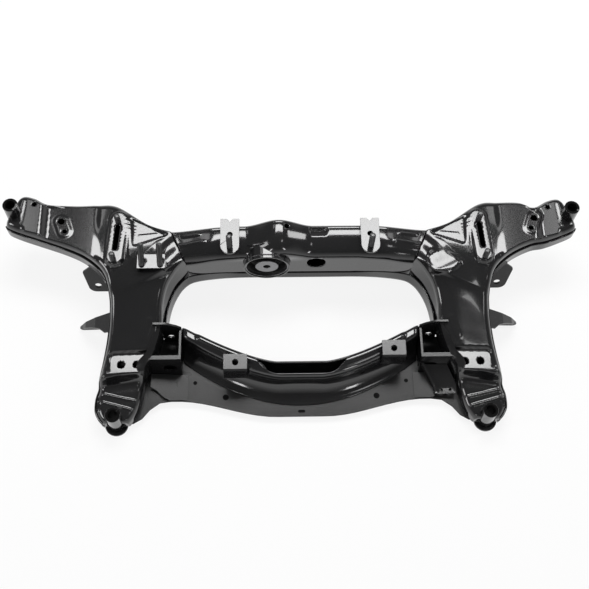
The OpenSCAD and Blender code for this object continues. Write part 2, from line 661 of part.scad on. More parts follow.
// The open dip: its near edge runs along the shoulder and curves out to the front wall at both ends
dip_near_y = seam_y + 5;
function dip_far(x) = beam_front(x) - sheet_t - 2;
function dip_near(x) = mix(dip_near_y, dip_far(x), ease((abs(x) - dip_half) / dip_flare));
module dip_cut() {
    reach = dip_half + 0.9 * dip_flare;
    xs = [for (k = [-plan_steps : plan_steps]) reach * k / plan_steps];
    translate([0, 0, beam_z - 2 * top_r]) linear_extrude(4 * top_r) polygon(concat(
        [for (x = xs) [x, dip_near(x)]],
        [for (k = [len(xs) - 1 : -1 : 0]) [xs[k], dip_far(xs[k])]]
    ));
}
module rear_cross_top() color(black) difference() {
    shell([for (x = beam_xs) top_skin(x, 0)], [for (x = beam_xs) top_skin(x, sheet_t)]);
    dip_cut();
}
// The shelf: a flat plate under the beam, with a web out to each rear foot
shelf_reach = rear_mount_x - rear_washer_d / 2 - 2;
// Coined seats, half a sheet deep: one long one in the middle, and x, y and width of those on each side
seat_z = foot_floor_z - sheet_t / 2;
shelf_slot = [14, 6];
shelf_seats = [[150, 50, 12], [211, 81, 8]];
module shelf_2d() {
    xs = [for (k = [0 : plan_steps]) (ring_half - 14) * k / plan_steps];
    web = shelf_reach - xs[plan_steps];
    function web_x(share) = shelf_reach - web * share;
    half = concat(
        [for (x = xs) [x, shelf_rear(x)]],
        [
            [web_x(0.73), shelf_rear(web_x(0.73)) - 3], [web_x(0.49), shelf_rear_y + 17],
            [web_x(0.31), shelf_rear_y - 1], [web_x(0.1), shelf_rear_y - 11],
            [shelf_reach, 0], [web_x(0.02), 40], [web_x(0.46), pocket_rear_y], [ring_half + 10, pocket_end_y]
        ],
        [for (k = [plan_steps : -1 : 0]) [xs[k], beam_front(min(xs[k], beam_half))]]
    );
    polygon(concat(half, [for (k = [len(half) - 2 : -1 : 1]) [-half[k][0], half[k][1]]]));
}
// A raised end of the shelf: it leaves the plate beside the pocket and climbs towards the rail's foot
ramp_from = pocket_inner_x - 11;
ramp_to = ring_half + 26;
ramp_rise = 9.5;
ramp_front_y = pocket_rear_y - gusset_run - seam_gap;
function ramp_z(x) = foot_floor_z + sheet_t / 2 + ramp_rise * (x - ramp_from) / (ramp_to - ramp_from);
function ramp_rear(x) = mix(shelf_rear(ramp_from) + 2, ramp_front_y - 28, ease((x - ring_half + 10) / 36));
module shelf_ramp() {
    xs = [for (k = [0 : 6]) mix(ramp_from, ramp_to, k / 6)];
    function strip_at(x, z) = [[x, ramp_rear(x), z], [x, ramp_front_y, z]];
    shell([for (x = xs) strip_at(x, ramp_z(x))], [for (x = xs) strip_at(x, ramp_z(x) - sheet_t)]);
}
module rear_cross_shelf() color(black) difference() {
    union() {
        translate([0, 0, foot_floor_z - sheet_t]) linear_extrude(sheet_t) shelf_2d();
        for (left = [false, true]) mirrored(left) shelf_ramp();
    }
    for (s = [-1, 1], h = shelf_seats) translate([s * h[0], h[1], seat_z])
        cylinder(d = h[2], h = foot_floor_z);
    translate([0, mix(shelf_rear_y, cove_foot_y, 0.45), seat_z]) linear_extrude(foot_floor_z) rotate(90)
        slot_2d(shelf_slot[0], shelf_slot[1]);
}

// Lower link pockets
// Two upright walls for the link's bolt and an inner wall, with a sloped gusset behind them and a
// flange that laps over the rail's shoulder and onto the rear pad
pocket_top_z = rear_pad_z + 14;
pocket_rear_z = rear_pad_z + 1;
hook_z = rail_z + 2;
pocket_reach = ring_half + 30;
hook_x = pocket_reach - 12;
// Room for the bolt's head and a socket behind the pocket
access_hole_d = 2 * link_hole_d - 2;
module pocket_wall(y) translate([0, y + bracket_t, 0]) rotate([90, 0, 0])
    linear_extrude(bracket_t) children();
module pocket_flange(left) intersection() {
    side_cover(left, 12, 17);
    linear_extrude(arm_z) polygon([
        [pocket_inner_x + 10, pocket_end_y + 4], [ring_half + 18, pocket_end_y + 4],
        [ring_half + 9, pocket_end_y - 8], [ring_half + 19, pocket_end_y - 25],
        [ring_half + 30, pocket_rear_y + 8], [ring_half + 45, pocket_rear_y - 7],
        [ring_half + 49, pocket_rear_y - 19], [ring_half + 46, pocket_rear_y - 31],
        [ring_half + 12, pocket_rear_y - 31], [pocket_inner_x + 10, pocket_rear_y]
    ]);
}
module lower_link_bracket(left) {
    inner = pocket_inner_x;
    front_y = pocket_rear_y + pocket_gap + bracket_t;
    color(black) mirrored(left) difference() {
        union() {
            translate([inner, pocket_rear_y, foot_floor_z])
                cube([bracket_t, pocket_gap + bracket_t, pocket_rear_z - foot_floor_z]);
            difference() {
                union() {
                    pocket_wall(pocket_rear_y) polygon([
                        [inner, foot_floor_z], [pocket_reach, foot_floor_z],
                        [pocket_reach, pocket_rear_z], [inner, pocket_rear_z]
                    ]);
                    pocket_wall(front_y) polygon([
                        [inner, foot_floor_z], [hook_x, foot_floor_z], [hook_x, hook_z],
                        [ring_half - 5, hook_z], [inner + 10, pocket_top_z], [inner, pocket_top_z - 10]
                    ]);
                    translate([inner, pocket_rear_y, 0]) rotate([90, 0, 90])
                        linear_extrude(pocket_reach - inner) polygon([
                            [-gusset_run, foot_floor_z], [bracket_t - gusset_run, foot_floor_z],
                            [1, pocket_rear_z - 2 * bracket_t], [1, pocket_rear_z], [-bracket_t, pocket_rear_z]
                        ]);
                }
                side_core(left, 12, 17);
                side_tray(left, 12, 17);
            }
            pocket_flange(left);
        }
        translate([lower_link_x, front_y + 2 * bracket_t, lower_link_z]) rotate([90, 0, 0])
            cylinder(d = link_hole_d, h = pocket_gap + 4 * bracket_t);
        translate([lower_link_x, pocket_rear_y - 1, lower_link_z]) rotate([90, 0, 0])
            cylinder(d = access_hole_d, h = 2 * gusset_run);
    }
}

// Differential brackets: bent caps that stand over the beam's seam, with a weld nut inside
diff_w = 46;
diff_run = 34;
diff_back = 18.5;
diff_stand = 8;
diff_skirt = 43;
diff_nut_w = 22;
diff_nut_h = 8;
module beam_solid(at) {
    xs = [for (x = beam_xs) if (abs(x - at) < diff_w) x];
    cove_points = len(cove_skin(0, 0)) - 1;
    function lid(x) = concat([for (k = [0 : cove_points - 1]) cove_skin(x, 0)[k]], top_skin(x, 0));
    function base(x) = let (last = len(lid(x)) - 1)
        [for (k = [0 : last]) [x, mix(cove_foot(x), beam_front(x), k / last), foot_floor_z - sheet_t]];
    shell([for (x = xs) lid(x)], [for (x = xs) base(x)]);
}
// A bracket's own frame: the middle of its top face's near edge
module diff_frame(x) translate([x, seam_at(x) - diff_back, beam_z + diff_stand]) children();
module diff_slice(at, w, outline) translate([at - w / 2, 0, 0])
    rotate([90, 0, 90]) linear_extrude(w) polygon(outline);
module diff_bracket(x) color(satin) difference() {
    diff_frame(x) difference() {
        union() {
            diff_slice(0, diff_w, [
                [0, -3], [3, 0], [diff_run, 0], [diff_run, -bracket_t], [bracket_t, -bracket_t],
                [bracket_t, -diff_skirt], [0, -diff_skirt]
            ]);
            for (s = [-1, 1]) diff_slice(s * (diff_w - bracket_t) / 2, bracket_t, [
                [0, -3], [3, 0], [diff_run, 0], [diff_run, -diff_stand - bracket_t],
                [diff_run / 2, -diff_skirt - bracket_t], [0, -diff_skirt]
            ]);
        }
        translate([0, diff_run / 2, -2 * bracket_t]) cylinder(d = diff_hole_d, h = 3 * bracket_t);
    }
    beam_solid(x);
}
module diff_nut(x) color(zinc) difference() {
    diff_frame(x) translate([0, diff_run / 2, -bracket_t - diff_nut_h]) difference() {
        cylinder(d = diff_nut_w, h = diff_nut_h, $fn = 6);
        translate([0, 0, -1]) cylinder(d = diff_hole_d - 2, h = diff_nut_h + 2);
    }
    beam_solid(x);
}

// Studs on the long pads
pad_stud_h = 27;
pad_stud_pitch = 84;
pad_stud_shift = -8;
module pad_studs(left) color(zinc) mirrored(left) for (s = [-1, 1])
    pad_place() translate([0, pad_stud_shift + s * pad_stud_pitch / 2, pad_top_z])
        rod(stud_d, pad_stud_h, 1.5);

// Cable bracket on the left knee, with two slanted studs
cable_x = ring_half + 21;
cable_y = 287;
cable_w = 54;
cable_l = 30;
cable_top_z = knee_z + 7;
cable_pitch = 36;
cable_stud_len = 46;
cable_stud_lean = 38;
module cable_bracket() color(satin) mirrored(true) difference() {
    translate([cable_x - cable_w / 2, cable_y - cable_l / 2, 0]) difference() {
        translate([0, 0, cable_top_z - 30]) cube([cable_w, cable_l, 30]);
        translate([bracket_t, -1, cable_top_z - 31])
            cube([cable_w - 2 * bracket_t, cable_l + 2, 31 - bracket_t]);
    }
    side_core(true, 7, 12);
}
module cable_studs() color(zinc) mirrored(true) difference() {
    for (s = [-1, 1]) translate([cable_x + s * cable_pitch / 2, cable_y - 8, cable_top_z])
        rotate([-cable_stud_lean, 0, 0]) translate([0, 0, -stud_d]) rod(stud_d, cable_stud_len + stud_d, 1.5);
    translate([cable_x - cable_w, cable_y - cable_w, cable_top_z - 2 * stud_d])
        cube([2 * cable_w, 2 * cable_w, 2 * stud_d]);
}

// Hanger bracket on the right of the shelf: a slanted plate from the gusset down to a foot with two
// holes, turned up along its inner edge. A row is inner and outer x, y, and the underside's heights.
hanger_lip = 10;
hanger_hole_d = 6;
hanger_top_z = 44;
hanger_share = (hanger_top_z - foot_floor_z) / (pocket_rear_z - foot_floor_z);
hanger_top_y = pocket_rear_y - mix(gusset_run, bracket_t, hanger_share);
function hanger_seat(x) = ramp_z(x) + seam_gap;
function hanger_mid(x) = mix(hanger_top_z, hanger_seat(x), 0.5);
hanger_foot_x = [ring_half - 11, ring_half + 36];
hanger_end_x = [ring_half - 8, ring_half + 34];
hanger_rows = [
    [ring_half - 34, ring_half + 18, hanger_top_y - seam_gap, hanger_top_z, hanger_top_z],
    [ring_half - 22, ring_half + 28, hanger_top_y - 20, hanger_mid(ring_half - 22), hanger_mid(ring_half + 28)],
    concat(hanger_foot_x, hanger_top_y - 39, [for (x = hanger_foot_x) hanger_seat(x)]),
    concat(hanger_end_x, hanger_top_y - 55, [for (x = hanger_end_x) hanger_seat(x)])
];
function hanger_upper(r) = [
    [r[0] + bracket_t, r[2], r[3] + bracket_t + hanger_lip], [r[0] + bracket_t, r[2], r[3] + bracket_t],
    [r[1], r[2], r[4] + bracket_t]
];
function hanger_under(r) = [
    [r[0], r[2], r[3] + bracket_t + hanger_lip], [r[0], r[2], r[3]], [r[1], r[2], r[4]]
];
module hanger_bracket() color(black) difference() {
    shell([for (r = hanger_rows) hanger_upper(r)], [for (r = hanger_rows) hanger_under(r)]);
    for (share = [0.35, 0.75])
        translate([mix(hanger_end_x[0], hanger_end_x[1], share), hanger_top_y - 47, 0])
            cylinder(d = hanger_hole_d, h = hanger_top_z);
}

side_upper(true);  // left_side_upper
side_upper(false);  // right_side_upper
side_lower(true);  // left_side_lower
side_lower(false);  // right_side_lower
front_cross_upper();
front_cross_lower();
rear_cross_top();
rear_cross_cove();
rear_cross_shelf();
collar(-mount_x(true), mount_y(true), front_collar_top - front_collar_len, front_collar_top);  // front_left_collar
collar(mount_x(false), mount_y(false), front_collar_top - front_collar_len, front_collar_top);  // front_right_collar
collar(-rear_mount_x, 0, 0, rear_collar_top);  // rear_left_collar
collar(rear_mount_x, 0, 0, rear_collar_top);  // rear_right_collar
rear_washer(-rear_mount_x);  // rear_left_washer
rear_washer(rear_mount_x);  // rear_right_washer
bush_housing();
bush_sleeve();
bush_rubber();
bush_core();
stab_bracket(true);  // left_stabiliser_bracket
stab_bracket(false);  // right_stabiliser_bracket
stab_stud(true);  // left_stabiliser_stud
stab_stud(false);  // right_stabiliser_stud
front_ear(true);  // left_link_front_ear
front_ear(false);  // right_link_front_ear
rear_ear(true);  // left_link_rear_ear
rear_ear(false);  // right_link_rear_ear
lower_link_bracket(true);  // left_lower_link_bracket
lower_link_bracket(false);  // right_lower_link_bracket
diff_bracket(diff_left_x);  // left_differential_bracket
diff_bracket(diff_right_x);  // right_differential_bracket
diff_nut(diff_left_x);  // left_differential_nut
diff_nut(diff_right_x);  // right_differential_nut
pad_studs(true);  // left_pad_studs
pad_studs(false);  // right_pad_studs
cable_bracket();
cable_studs();
hanger_bracket();
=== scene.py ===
import bmesh
import bpy
import numpy as np
from mathutils import Matrix


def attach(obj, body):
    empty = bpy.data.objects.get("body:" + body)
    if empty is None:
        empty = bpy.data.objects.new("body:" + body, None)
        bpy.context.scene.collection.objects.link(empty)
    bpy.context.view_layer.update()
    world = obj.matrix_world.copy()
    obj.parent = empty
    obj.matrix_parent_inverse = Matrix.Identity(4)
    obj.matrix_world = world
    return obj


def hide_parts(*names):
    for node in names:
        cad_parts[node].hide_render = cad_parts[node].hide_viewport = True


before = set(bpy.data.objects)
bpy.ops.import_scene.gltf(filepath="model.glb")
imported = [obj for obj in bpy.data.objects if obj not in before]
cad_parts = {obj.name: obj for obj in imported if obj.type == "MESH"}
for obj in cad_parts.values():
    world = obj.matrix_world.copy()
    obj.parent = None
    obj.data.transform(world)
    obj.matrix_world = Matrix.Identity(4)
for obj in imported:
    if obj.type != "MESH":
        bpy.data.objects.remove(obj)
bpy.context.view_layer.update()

# The white table and the light
# The part stands on a plain white table that fills the picture. A wide softbox hangs ahead of it,
# where level faces mirror it towards the camera, small panels serve the arm tips, one rail and the
# cove, and the room above stays dim.
MM = 0.001


def put(name, data):
    """An object of that name and data, in the scene and at the origin."""
    made = bpy.data.objects.new(name, data)
    bpy.context.scene.collection.objects.link(made)
    return made


def node(tree, kind, **values):
    """A shader node in the tree, with input sockets and plain settings given by name."""
    made = tree.nodes.new("ShaderNode" + kind)
    for key, value in values.items():
        label = key.replace("_", " ")
        if label in made.inputs:
            made.inputs[label].default_value = value
        else:
            setattr(made, key, value)
    return made


view_tilt, view_turn, view_roll = 1.13471054, 0.06405978, 0.04828418
look = np.array([np.sin(view_turn) * np.cos(view_tilt), np.cos(view_turn) * np.cos(view_tilt),
                 -np.sin(view_tilt)])
level = np.array([np.cos(view_turn), -np.sin(view_turn), 0.0])
above = np.cross(level, look)
camera_right = np.cos(view_roll) * level + np.sin(view_roll) * above
camera_up = np.cos(view_roll) * above - np.sin(view_roll) * level
view_centre, view_distance = np.array([-0.011238, 0.238911, 0.09]), 1.9995898
eye = view_centre - view_distance * look
lens = bpy.data.cameras.new("camera")
lens.sensor_width = 36.0
focal_pixels, photo_pixels = 1000.0, 589.0
lens.lens = lens.sensor_width * focal_pixels / photo_pixels
camera = put("camera", lens)
camera.matrix_world = Matrix((
    (camera_right[0], camera_up[0], -look[0], eye[0]),
    (camera_right[1], camera_up[1], -look[1], eye[1]),
    (camera_right[2], camera_up[2], -look[2], eye[2]),
    (0, 0, 0, 1)))
bpy.context.scene.camera = camera
bpy.context.scene.view_settings.view_transform = "Standard"

table_half, table_z = 14.0, -0.0004
table_mesh = bpy.data.meshes.new("table")
table_mesh.from_pydata([(-table_half, -table_half, table_z), (table_half, -table_half, table_z),
                        (table_half, table_half, table_z), (-table_half, table_half, table_z)],
                       [], [(0, 1, 2, 3)])
table = put("table", table_mesh)
table_white = bpy.data.materials.new("table_white")
table_white.use_nodes = True
tree = table_white.node_tree
tree.nodes.clear()
ray = node(tree, "LightPath")
seen = node(tree, "Math", operation="MAXIMUM")
seen_too = node(tree, "Math", operation="MAXIMUM")
glow_share = 0.86
share = node(tree, "Math", operation="MULTIPLY")
share.inputs[1].default_value = glow_share
tree.links.new(ray.outputs["Is Camera Ray"], seen.inputs[0])
tree.links.new(ray.outputs["Is Glossy Ray"], seen.inputs[1])
tree.links.new(seen.outputs[0], seen_too.inputs[0])
tree.links.new(ray.outputs["Is Transmission Ray"], seen_too.inputs[1])
tree.links.new(seen_too.outputs[0], share.inputs[0])
matt = node(tree, "BsdfDiffuse", Color=(0.93, 0.93, 0.93, 1))
glow = node(tree, "Emission", Color=(1, 1, 1, 1), Strength=1.0)
both = node(tree, "MixShader")
tree.links.new(share.outputs[0], both.inputs[0])
tree.links.new(matt.outputs[0], both.inputs[1])
tree.links.new(glow.outputs[0], both.inputs[2])
tree.links.new(both.outputs[0], node(tree, "OutputMaterial").inputs[0])
table_mesh.materials.append(table_white)

room = bpy.data.worlds.new("room")
bpy.context.scene.world = room
room.use_nodes = True
tree = room.node_tree
tree.nodes.clear()
where = node(tree, "TexCoord")
parts = node(tree, "SeparateXYZ")
ramp = node(tree, "ValToRGB")
ramp.color_ramp.elements[0].position = 0.0
ramp.color_ramp.elements[0].color = (0.85, 0.85, 0.85, 1)
ramp.color_ramp.elements[1].position = 0.5
ramp.color_ramp.elements[1].color = (0.13, 0.13, 0.13, 1)
tree.links.new(where.outputs["Generated"], parts.inputs[0])
tree.links.new(parts.outputs["Z"], ramp.inputs[0])
dim = node(tree, "Background", Strength=1.0)
white = node(tree, "Background", Color=(1, 1, 1, 1), Strength=1.0)
pick = node(tree, "MixShader")
tree.links.new(ramp.outputs[0], dim.inputs[0])
tree.links.new(node(tree, "LightPath").outputs["Is Camera Ray"], pick.inputs[0])
tree.links.new(dim.outputs[0], pick.inputs[1])
tree.links.new(white.outputs[0], pick.inputs[2])
tree.links.new(pick.outputs[0], node(tree, "OutputWorld").inputs[0])


def softbox(name, place, aim, size, watts):
    """A rectangular lamp at a place in metres that faces a point, its width level."""
    lamp = bpy.data.lights.new(name, "AREA")
    lamp.shape = "RECTANGLE"
    lamp.size, lamp.size_y = size
    lamp.energy = watts
    made = put(name, lamp)
    back = np.array(place, float) - np.array(aim, float)
    back /= np.linalg.norm(back)
    side = np.cross([0.0, 1.0, 0.0] if abs(back[2]) > 0.9 else [0.0, 0.0, 1.0], back)
    side /= np.linalg.norm(side)
    rise = np.cross(back, side)
    made.matrix_world = Matrix((
        (side[0], rise[0], back[0], place[0]), (side[1], rise[1], back[1], place[1]),
        (side[2], rise[2], back[2], place[2]), (0, 0, 0, 1)))
    return made


hung_z = 2.4
# Each hung lamp, which faces straight down: its place in plan, size and power
for name, x, y, size, watts in (
        ("front_softbox", 0.08, 1.34, (1.78, 0.84), 55.0), ("left_panel", -1.24, 1.7, (0.28, 0.6), 1.4),
        ("right_panel", 1.32, 1.67, (0.28, 0.6), 1.4), ("window", 0.9, -0.3, (0.3, 0.4), 1.6)):
    softbox(name, (x, y, hung_z), (x, y, 0.0), size, watts)
cove_aim, body_aim = (0.0, 0.1, 0.05), (0.0, 0.2, 0.1)
softbox("left_rear_panel", (-1.65, -2.3, 1.6), cove_aim, (0.3, 0.7), 7.0)
softbox("right_rear_panel", (1.55, -2.3, 1.6), cove_aim, (0.3, 0.7), 7.0)
softbox("left_softbox", (-2.3, -0.2, 1.5), body_aim, (0.7, 1.0), 14.0)
softbox("right_softbox", (2.1, 0.9, 1.7), body_aim, (0.6, 0.8), 12.0)

# Side pressings
# The two upper side pressings are deep-drawn from 3 mm sheet: arm, knee, rail and rear foot in one
# piece, with pads, recesses and holes struck into the top. They are dipped and baked in gloss black.
sheet, tray_gap = 3.0, 3.2
shoulder = 14.0
per_row = 16
end_steps = 7


def smooth(u):
    """0 below 0, 1 above 1, and 3u^2 - 2u^3 between."""
    v = np.clip(u, 0, 1)
    return v * v * (3 - 2 * v)


def row_curve(rows, lo, hi):
    """Uniform Catmull-Rom curve through the rows lo to hi of a table: the usual cubic in u of each
    row's two neighbours on either side, taken at per_row even steps in every gap at once."""
    k = np.arange((hi - lo) * per_row + 1) / per_row
    i = np.minimum(k.astype(int), hi - lo - 1)
    u = (k - i)[:, None]
    i = i + lo
    a, b, c, d = rows[np.maximum(i - 1, lo)], rows[i], rows[i + 1], rows[np.minimum(i + 2, hi)]
    return 0.5 * (2 * b + (c - a) * u + (2 * a - 5 * b + 4 * c - d) * u ** 2
                  + (3 * b - a - 3 * c + d) * u ** 3)


def side_stations(cx, cy):
    """Stations along a side member from the arm's tip to the rear foot, each with the plan places of
    its outer and inner edge, their heights, the underside, the inner bend and the flange. The inner
    edge's columns are curved in three runs, so that the lap joint keeps its corners."""
    rows = np.array([
        [cx + 17, cy - 19, cx - 4, cy + 33, 143, 143, 105, 14, 4],
        [cx + 9, cy - 30, cx - 17, cy + 41, 150, 150, 105, 14, 4],
        [cx - 16, cy - 41, cx - 38, cy + 37, 150, 150, 103, 14, 4],
        [cx - 47, cy - 50, cx - 66, cy + 25, 146, 146, 97, 14, 4],
        [470, 332, 451, 424, 136, 138, 87, 14, 4], [433, 316, 407, 424, 136, 139, 80.4, 14, 4],
        [405, 296, 366, 419, 136, 141, 70, 14, 4], [388, 275, 304, 376, 134, 141, 66, 7.7, 3],
        [379, 250, 256, 357, 129, 141, 64, 3.5, 0], [375, 230, 229, 291, 119, 141, 64, 3.5, 14],
        [374, 218, 248, 276, 114.2, 126.2, 64, 9.8, 22], [374, 203, 264, 252, 108.8, 116, 60.8, 14, 20],
        [375, 182, 272, 216, 102, 107, 56, 14, 12], [378, 148, 273, 175, 93, 97, 50.3, 14, 2],
        [384, 113, 285, 128, 84, 86, 39.6, 14, 1], [390, 88, 299, 103, 77, 77, 27.3, 14, 1],
        [393, 72, 306, 87, 75, 75, 18, 14, 1], [395, 60, 310, 73, 52, 52, 15, 14, 1],
        [400, 40, 313, 50, 48, 48, 15, 14, 1], [400, 16, 320, 21, 46, 46, 15, 14, 1],
        [393, 0, 329, 3, 44.5, 44.5, 15, 14, 1], [386, -8, 337, -7, 43, 43, 15, 14, 1]], float)
    last = len(rows) - 1
    out = row_curve(rows, 0, last)
    joint_first, joint_last, inner_columns, foot_floor = 8, 9, [2, 3, 5, 7, 8], 15
    runs = np.concatenate([row_curve(rows, 0, joint_first)[:-1], row_curve(rows, joint_first, joint_last)[:-1],
                           row_curve(rows, joint_last, last)])
    out[:, inner_columns] = runs[:, inner_columns]
    out[:, 6] = np.maximum(out[:, 6], foot_floor)
    return out


def seam_height(st):
    """Height of the seam between the pressings at each station: 0.45 of the way from the underside up
    to the outer edge, and at least 15 mm below that edge."""
    low, high = st[:, 6:7], st[:, 4:5]
    return np.minimum(low + (high - low) * 0.45, high - 15)


def across(st, q, z):
    """Points of each station's section: q along its plan line from outer to inner edge, z up."""
    line = st[:, 2:4] - st[:, 0:2]
    line = line / np.linalg.norm(line, axis=1, keepdims=True)
    plan = st[:, None, 0:2] + line[:, None, :] * q[..., None]
    return np.concatenate([plan, z[..., None]], -1)


def channel(st, ro, low_o, low_i, flat, counts):
    """An inverted channel over each station: a wall up from low_o, a quarter bend of radius ro, the
    top that slopes to its inner flat, a quarter bend of the station's own radius and a wall that
    leans out by the station's flange on its way down."""
    n_wall, n_bend, n_top, n_inner = counts
    w = np.linalg.norm(st[:, 2:4] - st[:, 0:2], axis=1)[:, None]
    zo, zi, ri = st[:, 4:5], st[:, 5:6], st[:, 7:8]
    up = np.linspace(0, 1, n_wall)[None, :-1]
    bend = np.radians(np.linspace(0, 90, n_bend))[None, :]
    top = np.linspace(0, 1, n_top)[None, 1:-1]
    down = np.linspace(0, 1, n_inner)[None, 1:]
    q_top = ro + (w - ri - ro) * top
    slope = np.clip((q_top - ro) / np.maximum(w - ri - flat - ro, 1), 0, 1)
    q = np.concatenate([0 * up + 0 * w, ro - ro * np.cos(bend) + 0 * w, q_top, w - ri + ri * np.sin(bend),
                        w + st[:, 8:9] * down], 1)
    z = np.concatenate([
        low_o + (zo - ro - low_o) * up, zo - ro + ro * np.sin(bend),
        zo + (zi - zo) * (0.5 * slope + 0.5 * smooth(slope)),
        zi - ri + ri * np.cos(bend), zi - ri + (low_i - zi + ri) * down], 1)
    return across(st, q, z)


def closed_end(grid, first, low, roll):
    """The grid with one end turned down: the end's stations sink on a circle of the roll radius, and
    further stations go straight down from there to the low height."""
    work = grid if first else grid[::-1]
    spine = work[:, work.shape[1] // 2, :2]
    run = np.concatenate([[0], np.cumsum(np.linalg.norm(np.diff(spine, axis=0), axis=1))])
    near = np.clip(roll - run, 0, roll)
    sink = (roll - np.sqrt(np.maximum(roll ** 2 - near ** 2, 0)))[:, None]
    tall = np.clip((work[..., 2] - low) / np.maximum(work[..., 2].max(1, keepdims=True) - low, 1), 0, 1)
    work = work.copy()
    work[..., 2] -= sink * tall
    steps = np.linspace(1, 0, end_steps + 1)[:-1, None]
    wall = np.repeat(work[:1], end_steps, 0)
    edge = work[:1, :, 2]
    wall[..., 2] = np.where(edge > low, low + (edge - low) * (1 - steps), edge)
    out = np.concatenate([wall, work])
    return out if first else out[::-1]


def line_distance(p, a, b):
    """Distance from plan points to the line between two plan points, and the nearest points on it."""
    a, b = np.array(a, float), np.array(b, float)
    run = b - a
    t = np.clip(((p - a) @ run) / max(run @ run, 1e-9), 0, 1)
    near = a + t[..., None] * run
    return np.linalg.norm(p - near, axis=-1), near


def corners(quads):
    """Marks every grid corner of the marked quads."""
    n, m = quads.shape
    mark = np.zeros((n + 1, m + 1), bool)
    for i, j in ((0, 0), (1, 0), (1, 1), (0, 1)):
        mark[i:n + i, j:m + j] |= quads
    return mark


def punch(grid, keep, a, b, radius, plane=(0, 1), only=None):
    """A round or long hole: quads whose middle lies within the radius of the line from a to b are
    dropped, and the corners left around them move to exactly that distance."""
    axes = list(plane)
    p = grid[..., axes]
    middle = (p[:-1, :-1] + p[1:, :-1] + p[1:, 1:] + p[:-1, 1:]) / 4
    gone = (line_distance(middle, a, b)[0] < radius) & keep
    if only is not None:
        gone &= only
    keep &= ~gone
    rim = corners(gone) & corners(keep)
    far, near = line_distance(p[rim], a, b)
    p[rim] = near + (p[rim] - near) * (radius / np.maximum(far, 1e-6))[:, None]
    grid[..., axes] = p


def turned_ends(centre, turn, half):
    """The two ends of a line of that half length through a centre, turned from +Y by degrees."""
    way = np.array([-np.sin(np.radians(turn)), np.cos(np.radians(turn))]) * half
    return np.array(centre) - way, np.array(centre) + way


def bar_mask(p, a, b, half_width, soft):
    """1 within half_width of the line from a to b, 0 beyond, and an S-curve of width soft between."""
    return smooth(0.5 - (line_distance(p, a, b)[0] - half_width) / soft)


def press_ridges(grid, p, top, ridges):
    """Raises or sinks the top along each ridge, given by its two ends, half width, softness and rise."""
    for a, b, half, soft, rise in ridges:
        grid[..., 2] += rise * bar_mask(p, a, b, half, soft) * top


def field_mask(p, outline, round_by, soft):
    """1 inside a convex outline given against the clock, with rounded corners, 0 outside, and an
    S-curve of width soft between: the largest signed distance from the outline's edges."""
    pts = np.array(outline, float)
    step = np.roll(pts, -1, 0) - pts
    normal = np.stack([step[:, 1], -step[:, 0]], 1) / np.linalg.norm(step, axis=1)[:, None]
    d = np.stack([(p - a) @ n + round_by for a, n in zip(pts, normal)], -1)
    outside = np.sqrt(np.sum(np.maximum(d, 0) ** 2, -1)) + np.minimum(d.max(-1), 0) - round_by
    return smooth(0.5 - outside / soft)


def sheet_mesh(name, grid, keep=None, flip=False):
    """A mesh of a grid of points in millimetres: corner (i, j) joins (i+1, j), (i+1, j+1), (i, j+1),
    turned over where flip is set, with only the quads that keep marks."""
    n, m = grid.shape[:2]
    at = np.arange(n * m).reshape(n, m)
    quads = np.stack([at[:-1, :-1], at[1:, :-1], at[1:, 1:], at[:-1, 1:]], -1)
    quads = quads.reshape(-1, 4) if keep is None else quads[keep]
    if flip:
        quads = quads[:, ::-1]
    used, again = np.unique(quads, return_inverse=True)
    mesh = bpy.data.meshes.new(name)
    mesh.from_pydata((grid.reshape(-1, 3)[used] * MM).tolist(), [], again.reshape(-1, 4).tolist())
    mesh.shade_smooth()
    return mesh


def fit_piece(name, mesh, finish, slot, *nodes, thick=0.0):
    """A piece of the part: its mesh and finish, a wall thickness in millimetres where it is a sheet,
    and the CAD nodes that it stands for."""
    made = put(name, mesh)
    mesh.materials.append(finish)
    if thick:
        wall = made.modifiers.new("wall", "SOLIDIFY")
        wall.thickness = thick * MM
        wall.offset = -1
    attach(made, "root")
    if nodes:
        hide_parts(*nodes)
    return made


skin_group = bpy.data.node_groups.new("paint_skin", "ShaderNodeTree")
for label, kind, way in (
        ("Colour", "NodeSocketColor", "INPUT"), ("Dust", "NodeSocketFloat", "INPUT"),
        ("Base Roughness", "NodeSocketFloat", "INPUT"), ("Colour", "NodeSocketColor", "OUTPUT"),
        ("Roughness", "NodeSocketFloat", "OUTPUT"), ("Height", "NodeSocketFloat", "OUTPUT")):
    skin_group.interface.new_socket(name=label, in_out=way, socket_type=kind)
g_in = skin_group.nodes.new("NodeGroupInput")
g_out = skin_group.nodes.new("NodeGroupOutput")
spot = node(skin_group, "TexCoord")
peel = node(skin_group, "TexNoise", Scale=380.0, Detail=1.0)
cloud = node(skin_group, "TexNoise", Scale=11.0, Detail=4.0)
speck = node(skin_group, "TexNoise", Scale=520.0, Detail=2.0)
for made in (peel, cloud, speck):
    skin_group.links.new(spot.outputs["Object"], made.inputs["Vector"])
facing = node(skin_group, "NewGeometry")
split_n = node(skin_group, "SeparateXYZ")
skin_group.links.new(facing.outputs["Normal"], split_n.inputs[0])
lies = node(skin_group, "MapRange")
for key, value in (("From Min", 0.5), ("From Max", 1.0)):
    lies.inputs[key].default_value = value
skin_group.links.new(split_n.outputs["Z"], lies.inputs["Value"])
settled = node(skin_group, "Math", operation="MULTIPLY")
skin_group.links.new(lies.outputs["Result"], settled.inputs[0])
skin_group.links.new(g_in.outputs["Dust"], settled.inputs[1])
patchy = node(skin_group, "Math", operation="MULTIPLY")
skin_group.links.new(settled.outputs[0], patchy.inputs[0])
skin_group.links.new(cloud.outputs["Fac"], patchy.inputs[1])
dusty = node(skin_group, "MixRGB", Color2=(0.2, 0.2, 0.2, 1))
